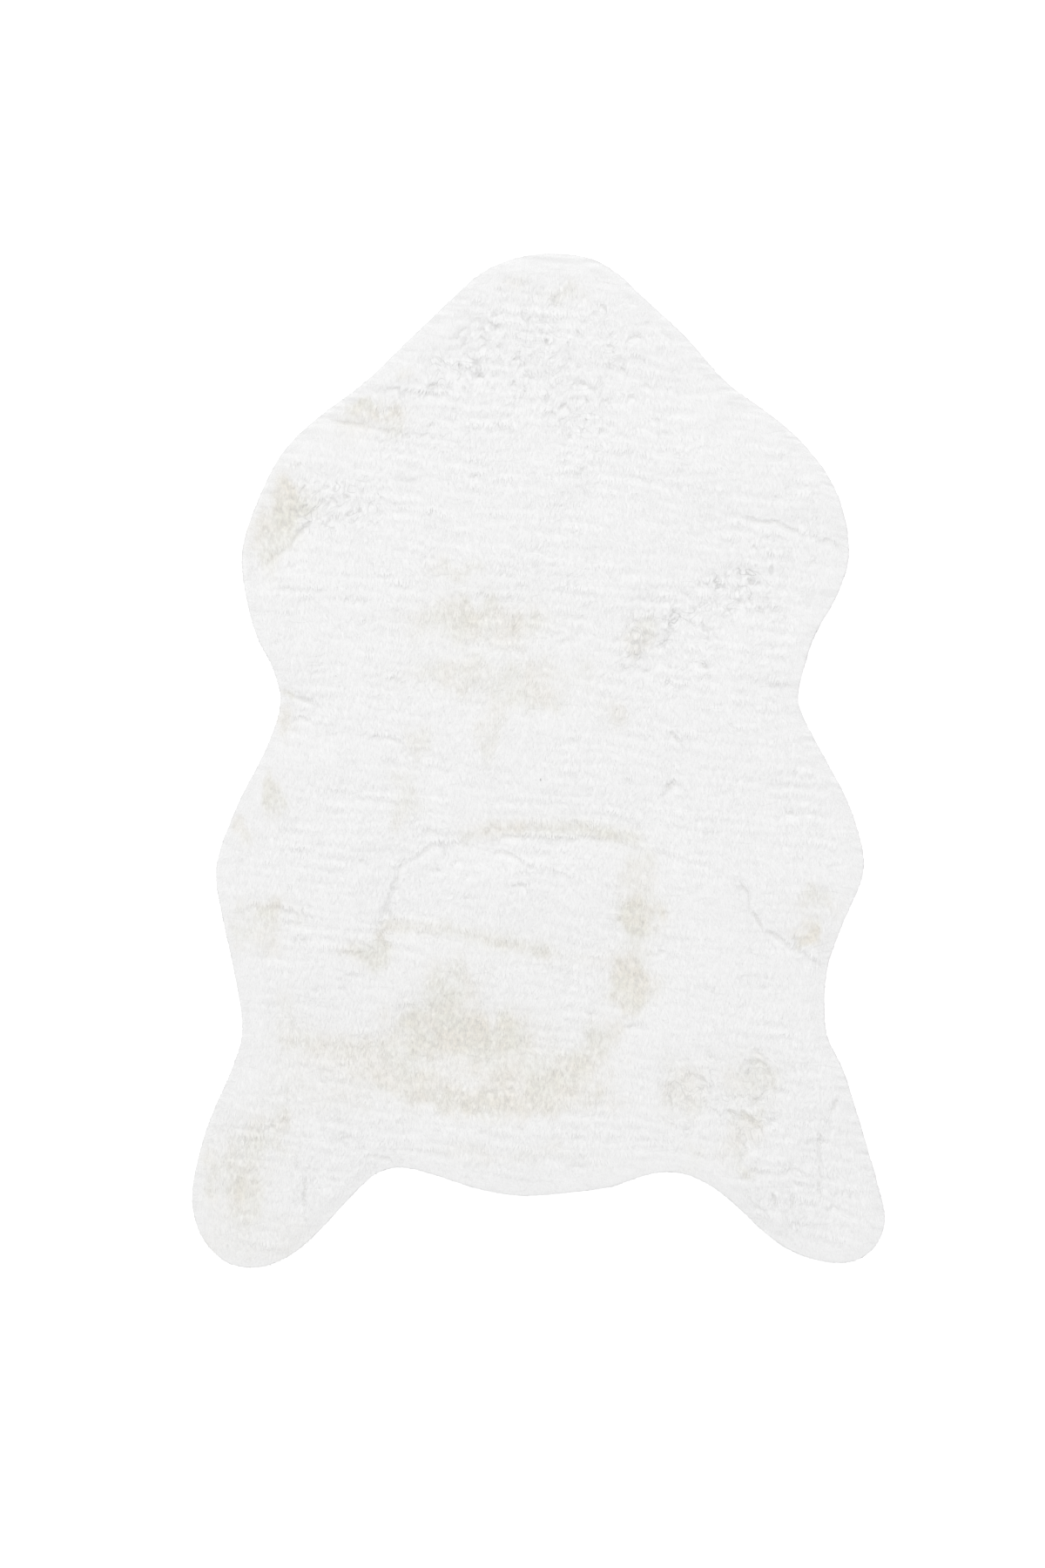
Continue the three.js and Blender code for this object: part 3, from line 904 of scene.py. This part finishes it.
furLook = {
    "white": (0.93, 0.93, 0.93),
    "warmCream": (0.90, 0.867, 0.80),
    "greenCream": (0.885, 0.877, 0.81),
    "creamGain": 1.1,
    "roughness": 0.9,
    "specular": 0.15,
    "sheen": 0.45,
    "hueScale": 40.0,
    "hueContrast": 5,
    "gapShade": (0.785, 0.77, 0.728),  # painted shade of the short gaps of the open pile
    "gapShadeShare": 0.75,
    "dashScale": 330.0,
    "dashStretch": (1, 0.5, 0.3),
    "dashContrast": 6,
    "dashLevel": 0.3,
    "dashGain": 1.2,
    "line": (0.66, 0.66, 0.655),  # painted shade where locks of the pile part, along wrinkles and creases
    "wrinkleShadeShare": 0.7,
    "creaseShare": 0.17,
    "lineBreaks": 0.9,  # scale of the noise that breaks the lines, times their own
    "lineContrast": 6,
    "mottleScale": 380.0,
    "mottleShare": 0.42,
    "hemShade": 0.088,  # painted shade: how much greyer the pile is painted for each metre towards the hem
    "hemFrom": 0.15,
    "lineDepth": 0.25 * mm,
    "grainScale": 900.0,
    "grainStretch": (1, 0.25, 1),
    "grainDepth": 0.03 * mm,
}
wrinkles = {"stretch": (1, 1, 0.3), "scale": 70.0, "bend": 1.6, "sharpness": 22, "seldom": 0.42}
creases = {"stretch": (0.25, 1, 0.3), "scale": 120.0, "bend": 0.3, "sharpness": 20, "seldom": 0.52}


def contourLines(place, look):
    # thin broken lines along the level curves of a noise
    across = place.stretched(look["stretch"])
    level = (across.noise(look["scale"], 0.0, look["bend"]) - 0.5).size()
    line = (1 - level * look["sharpness"]).clamped()
    breaks = across.noise(look["scale"] * furLook["lineBreaks"])
    return line * ((breaks - look["seldom"]) * furLook["lineContrast"]).clamped()


def furMaterial(name, brightness):
    made, wires, place = newMaterial(name)
    openness = wires.node("ShaderNodeAttribute", {"attribute_name": "openness"}, output=2)
    ruffle = wires.node("ShaderNodeAttribute", {"attribute_name": "ruffle"}, output=2)
    # painted shade: thin dark lines along wrinkles in ruffled places and along creases
    lines = contourLines(place, wrinkles) * ruffle * furLook["wrinkleShadeShare"]
    lines = lines + contourLines(place, creases) * furLook["creaseShare"]
    patches = (place.noise(furLook["mottleScale"], 2.0) - 0.5).clamped() * furLook["mottleShare"]
    hueShare = ((place.noise(furLook["hueScale"]) - 0.5) * furLook["hueContrast"] + 0.5).clamped()
    # painted shade: short dark dashes in the open pile, where its gaps lie in shade
    dashes = place.stretched(furLook["dashStretch"]).noise(furLook["dashScale"]) - 0.5
    dashes = (dashes * furLook["dashContrast"] + furLook["dashLevel"]).clamped()
    gapShadeShare = dashes * (openness * furLook["dashGain"]).clamped() * furLook["gapShadeShare"]

    # the colours times the brightness; below 1 this is painted shade
    def paint(key):
        return (*[c * brightness for c in furLook[key]], 1)

    cream = hueShare.mixed(paint("warmCream"), paint("greenCream"))
    pale = (openness * furLook["creamGain"]).clamped().mixed(paint("white"), cream)
    # painted shade: the gaps' dark colour mixed in over the cream
    gapShaded = gapShadeShare.mixed(pale, paint("gapShade"))
    # painted shade: the pile is painted greyer towards the hem
    towardsHem = furLook["hemFrom"] - wires.node("ShaderNodeSeparateXYZ", {}, {0: place}, 1)
    hem = towardsHem.clamped() * furLook["hemShade"]
    # the painted shade lines and the painted shade towards the hem, with random grey mottling, mix towards
    # the line grey
    tint = (lines + patches + hem).clamped().mixed(gapShaded, paint("line"))
    grain = place.stretched(furLook["grainStretch"]).noise(furLook["grainScale"])
    height = grain * furLook["grainDepth"] - lines * furLook["lineDepth"]
    finishMaterial(made, tint, height, 1.0, furLook)
    return made


underfur = {
    "rows": 330,
    "columns": 210,
    "rimRings": 7,
    "belowTips": 0.28 * mm,
    "grooveDepth": 1.5,  # of the depth of the pile's own grooves
    "inset": 0.1 * mm,
    "footIn": 1 * mm,  # how much further in its foot stands, and the middle of its side
    "sideIn": 0.4 * mm,
    "foot": 0.5 * mm,
    "bulge": 0.694,  # share of the height where the edge is widest
    # painted shade: the lower pile takes the pile's colours a little darker, for the shade it lies in under
    # the blades
    "brightness": 0.955,
}


def underfurHeight(x, y):
    full = topMap.at(x, y) + maps["relief"].at(x, y) - underfur["belowTips"]
    return full - underfur["grooveDepth"] * maps["softGroove"].at(x, y)


def underfurSurface(x, y):
    # the same, rolled over at the edge
    radius = plan["edgeRoll"] - underfur["inset"]
    inward = (edgeMap.at(x, y) - underfur["inset"]) / radius
    share = underfur["bulge"] + (1 - underfur["bulge"]) * rollShare(inward)
    return underfur["foot"] + (underfurHeight(x, y) - underfur["foot"]) * share


def makeUnderfur():
    inset = underfur["inset"]
    radius = plan["edgeRoll"] - inset
    bulge = underfur["bulge"]
    rings = [(inset + underfur["footIn"], 0.0), (inset + underfur["sideIn"], 0.5 * bulge)]
    for k in range(underfur["rimRings"] + 1):
        inward = k / underfur["rimRings"]
        rings.append((inset + radius * inward, bulge + (1 - bulge) * rollShare(inward)))
    piece = layCloth("rug_underfur", underfur["rows"], underfur["columns"], rings,
                     underfurHeight, underfur["foot"], reliefNormal, False)
    # a darker copy of the fur, painted shade for the lower pile
    piece.data.materials.append(furMaterial("underfur", underfur["brightness"]))
    return piece


underfurPiece = makeUnderfur()
print("underfur:", sum(len(p.vertices) - 2 for p in underfurPiece.data.polygons), "triangles")

backingLook = {
    "rows": 90,
    "columns": 56,
    "thickness": 1.6 * mm,
    "inset": 3 * mm,
    "chamfer": 0.4 * mm,
    "yarn": (0.80, 0.79, 0.76),
    # painted shade: the darker colour in the hollows between the loops
    "between": (0.66, 0.65, 0.61),
    "walesPerMetre": 420,
    "coursesPerMetre": 540,
    "loopDepth": 0.35 * mm,
    "courseLean": 1.2,
    "loopRound": 1.1,
    "fuzzScale": 1800.0,
    "fuzz": 0.5,
    "roughness": 0.9,
    "specular": 0.2,
    "sheen": 0.0,
}


def backingMaterial():
    # a knitted ground: columns of small V loops
    made, wires, place = newMaterial("knittedBacking")
    x, y = (wires.node("ShaderNodeSeparateXYZ", {}, {0: place}, axis) for axis in (0, 1))
    lean = ((x * backingLook["walesPerMetre"]).fraction() - 0.5).size()
    course = (y * backingLook["coursesPerMetre"] + lean * backingLook["courseLean"]).fraction()
    loop = (course * math.pi).sine() * (1 - lean * backingLook["loopRound"])
    fuzz = (place.noise(backingLook["fuzzScale"], 2.0) - 0.5) * backingLook["fuzz"]
    share = (loop + fuzz).clamped()
    # painted shade: the hollows between the loops are darker
    tint = share.mixed((*backingLook["between"], 1), (*backingLook["yarn"], 1))
    finishMaterial(made, tint, share, backingLook["loopDepth"], backingLook)
    return made


def makeBacking():
    inset = backingLook["inset"]
    inner = inset + backingLook["chamfer"]
    rings = [(inner, 0.0), (inset, 0.3), (inset, 0.7), (inner, 1.0)]
    thickness = backingLook["thickness"]
    rows = backingLook["rows"]

    def evenTop(x, y):
        return np.full(x.shape, thickness)

    def straightUp(x, y):
        return np.tile((0.0, 0.0, 1.0), (len(x), 1))

    piece = layCloth("rug_backing", rows, backingLook["columns"], rings, evenTop, 0.0, straightUp, True)
    piece.data.materials.append(backingMaterial())
    return piece


backing = makeBacking()
print("backing made")

pile = {
    "pitch": 1.5 * mm,
    "width": 1.35 * mm,
    "widths": (0.8, 1.2),
    "narrowOpen": 0.25,  # how much narrower a blade is where the pile lies open
    "wideAtEdge": 0.3,
    "thickness": 0.06,  # of a blade's width
    "overFloor": 0.1 * mm,
    "reach": 7.5 * mm,
    "shortOpen": 0.4,
    "uneven": 0.2,
    "waver": 0.3,  # how the nap wavers round its way to the hem, in radians
    "tuftWaver": 0.22,
    "bladeWaver": 0.12,
    "ruffledWaver": 0.8,
    "tuft": (2.6 * mm, 4.4 * mm),
    "tuftSeed": 34,
    "gather": 0.22,
    "flop": 9 * mm,  # how far in from the edge the pile starts to fall outwards
    "flopFrom": 1.25,
    "flopReach": 0.75,
    "liftOnRoll": 0.03 * mm,
    "rootsIn": 1.2 * mm,  # how far inside the lower pile the roots stop
    "tipsIn": 0.15 * mm,  # how far inside the rim the tips of the top stop
    "tuftDrop": 0.02,  # how far single tips stand below the surface, in millimetres
    "bladeDrop": 0.08,
    "clearance": 0.1,
    "holdFrom": 2 * mm,
    "holdOver": 12 * mm,
    "roundRise": 0.3,  # how far up the lower faces of a blade are turned in its shading
    "roundLean": 0.6,
    "shortAtEdge": 0.4,  # how much shorter the pile is where it rolls over
    "shortFrom": 1.3,
    "grooveStop": 0.45 * mm,
    "grooveSteps": (1.0, 0.85, 0.7, 0.55, 0.4, 0.25, 0.1),
    "stopShort": 0.9,
    "leastReach": 0.3,
    "seed": 5,
}


def unit(vectors):
    return vectors / np.maximum(np.linalg.norm(vectors, axis=1, keepdims=True), 1e-12)


def makeBlades(name, root, tip, width, facing, outwards, material):
    # closed slivers of fur with a flat upper face: 4 points and 4 faces each
    axis = unit(tip - root)
    side = unit(np.cross(axis, facing))
    up = np.cross(side, axis)
    half = (width / 2)[:, None]
    left = root - half * side
    right = root + half * side
    under = root - 2 * half * pile["thickness"] * up
    for point in (left, right, under, tip):
        point[:, 2] = np.maximum(point[:, 2], pile["overFloor"])
    points = np.stack([left, right, under, tip], axis=1).reshape(-1, 3)
    base = 4 * np.arange(len(root))[:, None]
    faces = (base + [0, 1, 3, 1, 2, 3, 2, 0, 3, 0, 2, 1]).reshape(-1, 3)
    # the upper face is shaded as part of the soft surface, the lower ones as round
    turned = outwards[:, None] * facing
    soft = [unit(reliefNormal(*point.T[:2]) + turned) for point in (left, right, tip)]
    rise = pile["roundRise"] * up
    lean = pile["roundLean"] * axis
    lower = [unit(side + lean + rise), unit(lean - side + rise), unit(rise - axis)]
    normals = np.stack([*soft, *[n for n in lower for _ in range(3)]], axis=1)
    # each blade keeps one small place of its own on the map, at least a little wide
    start = root[:, :2]
    spread = plan["high"][0] - plan["low"][0]
    reach = tip[:, :2] - start
    length = np.maximum(np.linalg.norm(reach, axis=1, keepdims=True), 1e-9)
    far = start + reach / length * np.maximum(length, 2 * mm)
    beside = np.column_stack([-reach[:, 1], reach[:, 0]]) / length * half
    corner = (plan["low"][0], start[:, 1].min() - 10 * mm)
    uvL, uvR, uvT = ((place - corner) / spread for place in (start - beside, start + beside, far))
    uv = np.stack([uvL, uvR, uvT, uvR, uvL, uvT, uvR, uvL, uvT, uvL, uvT, uvR], axis=1)
    looks = {key: maps[key].at(*points.T[:2]) for key in ("openness", "ruffle")}
    piece = meshFromArrays(name, points, faces, looks, uv, normals)
    piece.data.materials.append(material)
    print(name, len(faces), "triangles")
    return piece


def reachToGrooves(place, lean):
    # a blade stops short of the first groove in its way
    share = np.ones(place.shape[1])
    for part in pile["grooveSteps"]:
        depth = maps["groove"].at(*(place + part * lean))
        share = np.where(depth > pile["grooveStop"], part * pile["stopShort"], share)
    return np.maximum(share, pile["leastReach"])


def topBlades(rng):
    x, y = gridOf(pile["pitch"])
    x = x + rng.uniform(-0.5, 0.5, x.shape) * pile["pitch"]
    y = y + rng.uniform(-0.5, 0.5, y.shape) * pile["pitch"]
    place = np.array([x.ravel(), y.ravel()])
    place = place[:, edgeMap.at(*place) > underfur["inset"] + pile["rootsIn"]]
    count = place.shape[1]
    openness = maps["openness"].at(*place)
    *tuft, tagA, tagB = nearestTuft(*place, *pile["tuft"], pile["tuftSeed"])
    # the nap lies down towards the hem, wavering a little
    heading = math.radians(-90) + pile["waver"] * lumps("heading", *place)
    heading += (pile["waver"] * lumps("fineHeading", *place) + pile["tuftWaver"] * tagA
                + rng.normal(0, pile["bladeWaver"], count))
    heading += maps["ruffle"].at(*place) * pile["ruffledWaver"] * lumps("ruffledHeading", *place)
    fromEdge = edgeMap.at(*place)
    away = fromEdge / plan["edgeRoll"]
    reach = pile["reach"] * (1 - pile["shortOpen"] * openness) * (1 + pile["uneven"] * lumps("reach", *place))
    reach *= 1 - pile["shortAtEdge"] * np.clip(pile["shortFrom"] - away, 0, 1)
    lean = reach * np.array([np.cos(heading), np.sin(heading)])
    lean += pile["gather"] * (np.array(tuft) - place)
    # near the rim it flops outwards instead
    outward = np.clip(pile["flopFrom"] - fromEdge / pile["flop"], 0, 1)
    lean = lean * (1 - outward) - np.array(edgeSlope(*place)) * reach * pile["flopReach"] * outward
    tip = place + lean * reachToGrooves(place, lean)
    over = np.maximum(pile["tipsIn"] * rng.uniform(0, 2, count) - edgeMap.at(*tip), 0)
    tip = tip + np.array(edgeSlope(*tip)) * over
    drop = pile["tuftDrop"] * (tagB + 1) + pile["bladeDrop"] * rng.uniform(0, 1, count)
    tipZ = surfaceHeight(*tip) - drop * mm
    rootZ = underfurSurface(*place) + pile["liftOnRoll"] * (1 - np.clip(away, 0, 1))
    # the tips stand over the lower pile, less and less towards the rim
    lowest = underfurSurface(*tip)
    hold = np.clip((edgeMap.at(*tip) - pile["holdFrom"]) / pile["holdOver"], 0, 1)
    low = lowest + (pile["clearance"] + pile["bladeDrop"] * rng.uniform(0, 1, count)) * mm
    tipZ = low + (np.maximum(tipZ, lowest + 2 * pile["clearance"] * mm) - low) * hold
    width = pile["width"] * rng.uniform(*pile["widths"], count)
    width = width * (1 - pile["narrowOpen"] * openness) * (1 + pile["wideAtEdge"] * outward)
    facing = np.tile((0.0, 0.0, 1.0), (count, 1))
    return np.column_stack([*place, rootZ]), np.column_stack([*tip, tipZ]), width, facing, np.zeros(count)


locks = {
    "cover": 1.8,  # blades on the side, for each place of the pitch
    "onRim": 0.32,  # share of them that hang from the very rim
    "across": 8 * mm,
    "loose": 0.25,
    "rootsIn": 0.12 * mm,
    "roots": (0.2, 0.98),  # how high on the side the others start
    "rimDrop": 0.9,  # how far below the rim they start, in millimetres as the next three
    "rimLift": 0.15,
    "fall": (1.5, 5),
    "ends": (0.15, 0.6),  # how far over the floor they end at the least
    "bulge": 0.5 * mm,
    "lean": 2 * mm,
    "gather": 0.35,
    "slide": 0.4,  # in millimetres too
    "widths": (0.7, 1.2),
    "overhang": 0.3 * mm,
    "overhangs": (0.5, 1),
    "bulges": (0.4, 1),
    "uneven": 0.3 * mm,  # how unevenly they hang over
    "unevenShare": (0.35, 0.65),  # of it on the left, and more of it on the right
    "bumps": 1.1 * mm,
    "bumpsShare": (1.4, 0.4),
    "sideBlend": 40 * mm,
    "stray": 0.35,  # of those on the rim that stand out as a soft fringe, on the left most
    "strayReach": 2.4 * mm,
    "strayRight": 0.4,
    "strayWidth": 0.45,
    "round": 0.7,
    "turn": 0.15,
    "outwards": (0.8, 3.5),  # how far the rim and the side are shaded as facing outwards
}


def overhangAt(x, y):
    least, more = locks["unevenShare"]
    share = least + more / (1 + np.exp(-x / locks["sideBlend"]))
    steep, start = locks["bumpsShare"]
    bumps = np.maximum(lumps("rimBumps", x, y), 0) * locks["bumps"] * (steep * share - start)
    return locks["overhang"] + locks["uneven"] * share * lumps("overhang", x, y) + bumps


def edgeLocks(rng):
    # locks hang from the rim to the floor, drawing together as they fall
    wall = plan["bulgeHeight"]
    count = int(locks["cover"] * outlineLength * wall / pile["pitch"] ** 2)

    def spread(low, high):
        return rng.uniform(low, high, count)

    place = spread(0, len(outline))
    perLock = locks["across"] / outlineLength * len(outline)
    lock = np.floor(place / perLock).astype(int)
    tags = rng.uniform(-1, 1, (2, lock.max() + 1))
    middle = (lock + 0.5 + locks["loose"] * tags[0][lock]) * perLock
    beside = (place - middle) / perLock
    rim = outlineAt(place, 0).T
    inward = np.array(edgeSlope(*rim))
    sideways = np.array([-inward[1], inward[0]])
    onRim = spread(0, 1) < locks["onRim"]
    root = rim + inward * np.where(onRim, 0, underfur["inset"] + locks["rootsIn"])
    top = underfurSurface(*root)
    fromRim = (locks["rimDrop"] * spread(0, 1) ** 2 - locks["rimLift"]) * mm
    rootZ = np.where(onRim, top - fromRim, top * spread(*locks["roots"]))
    tipZ = rootZ - spread(*locks["fall"]) * mm
    tipZ = np.maximum(tipZ, spread(*locks["ends"]) * mm)
    fallen = np.clip(1 - tipZ / wall, 0, 1)
    overhang = overhangAt(*rim) * spread(*locks["overhangs"])
    roundness = 1 - 4 * beside**2
    overhang += locks["bulge"] * roundness * np.sin(math.pi * fallen) * spread(*locks["bulges"])
    stray = onRim & (spread(0, 1) < locks["stray"])
    left = 1 / (1 + np.exp(rim[0] / locks["sideBlend"]))
    left = locks["strayRight"] + (1 - locks["strayRight"]) * left
    overhang += stray * locks["strayReach"] * spread(0, 1) ** 1.5 * left
    slide = -locks["gather"] * locks["across"] * beside * fallen
    slide = slide + rng.normal(0, locks["slide"], count) * mm - locks["lean"] * inward[0] * fallen
    tip = rim - inward * overhang + sideways * slide
    width = pile["width"] * spread(*locks["widths"]) * np.where(stray, locks["strayWidth"], 1)
    # each lock is round, and the rim is shaded more as part of the top
    turn = locks["round"] * beside + locks["turn"] * tags[1][lock]
    facing = unit(np.column_stack([*(sideways * turn - inward), np.zeros(count)]))
    outwards = np.where(onRim, *locks["outwards"])
    return np.column_stack([*root, rootZ]), np.column_stack([*tip, tipZ]), width, facing, outwards


def makePile():
    rng = np.random.default_rng(pile["seed"])
    parts = [topBlades(rng), edgeLocks(rng)]
    root, tip, width, facing, outwards = (np.concatenate([p[k] for p in parts]) for k in range(5))
    print("blades on the top and on the side:", [len(part[0]) for part in parts])
    order = np.argsort(-root[:, 1], kind="stable")
    material = furMaterial("pile", 1.0)
    names = ("pile_neck", "pile_shoulders", "pile_back", "pile_belly", "pile_legs")
    split = np.array_split(order, len(names))
    return [makeBlades(name, root[part], tip[part], width[part], facing[part], outwards[part], material)
            for name, part in zip(names, split)]


pilePieces = makePile()

for piece in [backing, underfurPiece, *pilePieces]:
    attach(piece, "root")
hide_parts("fur_rug")
